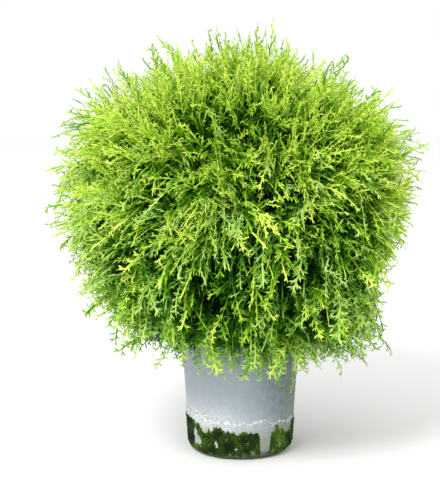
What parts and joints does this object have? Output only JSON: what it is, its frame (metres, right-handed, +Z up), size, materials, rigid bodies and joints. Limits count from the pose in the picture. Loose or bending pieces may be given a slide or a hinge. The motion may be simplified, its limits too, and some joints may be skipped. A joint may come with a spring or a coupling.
{
  "type": "potted eastern arborvitae",
  "caption": "Globe-shaped evergreen conifer with scale-leaved fan sprays on a short hidden trunk, growing in a round tapered nursery pot.",
  "frame": {"origin": "centre of the pot's flat underside, which stands on the ground", "axes": "+Z up along the pot's axis, -Y towards the picture's camera, +X to the right in the picture"},
  "size_m": [0.5485, 0.5506, 0.6274],
  "materials": {
    "pot_plastic": "matte",
    "soil_compost": "matte",
    "bark": "matte",
    "scale_leaves": "matte"
  },
  "bodies": {
    "root": {"pot": "pot_plastic", "soil": "soil_compost", "trunk": "bark", "bough_upper_1": "bark", "bough_upper_2": "bark", "bough_upper_3": "bark", "bough_upper_4": "bark", "bough_upper_5": "bark", "bough_middle_1": "bark", "bough_middle_2": "bark", "bough_middle_3": "bark", "bough_middle_4": "bark", "bough_middle_5": "bark", "bough_middle_6": "bark", "bough_middle_7": "bark", "bough_lower_1": "bark", "bough_lower_2": "bark", "bough_lower_3": "bark", "bough_lower_4": "bark", "bough_lower_5": "bark", "bough_lower_6": "bark", "foliage_top": "scale_leaves", "foliage_upper_1": "scale_leaves", "foliage_upper_2": "scale_leaves", "foliage_upper_3": "scale_leaves", "foliage_upper_4": "scale_leaves", "foliage_upper_5": "scale_leaves", "foliage_middle_1": "scale_leaves", "foliage_middle_2": "scale_leaves", "foliage_middle_3": "scale_leaves", "foliage_middle_4": "scale_leaves", "foliage_middle_5": "scale_leaves", "foliage_middle_6": "scale_leaves", "foliage_middle_7": "scale_leaves", "foliage_lower_1": "scale_leaves", "foliage_lower_2": "scale_leaves", "foliage_lower_3": "scale_leaves", "foliage_lower_4": "scale_leaves", "foliage_lower_5": "scale_leaves", "foliage_lower_6": "scale_leaves"}
  },
  "joints": []
}
